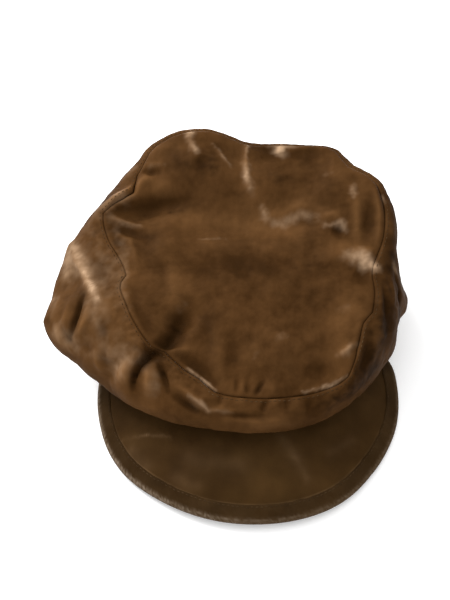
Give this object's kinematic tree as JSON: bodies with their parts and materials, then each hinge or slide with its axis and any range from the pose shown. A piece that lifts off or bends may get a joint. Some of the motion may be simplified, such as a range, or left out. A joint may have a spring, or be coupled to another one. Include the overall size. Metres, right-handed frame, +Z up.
{
  "type": "kepi cap",
  "caption": "Soft cloth kepi cap lying flat: a slumped crown of a top panel and a side panel, an upright head band, and a stiff peak edged with cloth binding.",
  "frame": {"origin": "under the middle of the cap's bounding box, on the surface that it lies on", "axes": "+Z up from the surface, -Y the way the peak points, +X to the right of someone who faces the peak"},
  "size_m": [0.2452, 0.2744, 0.0883],
  "materials": {
    "crown_cloth": "worn dyed cotton, satin on the folds",
    "band_cloth": "worn dyed cotton",
    "peak_cloth": "worn dyed cotton, satin",
    "binding_cloth": "worn dyed cotton, frayed at the edge"
  },
  "bodies": {
    "root": {"crown_top": "crown_cloth", "crown_side": "crown_cloth", "head_band": "band_cloth", "peak": "peak_cloth", "peak_binding": "binding_cloth"}
  },
  "joints": []
}
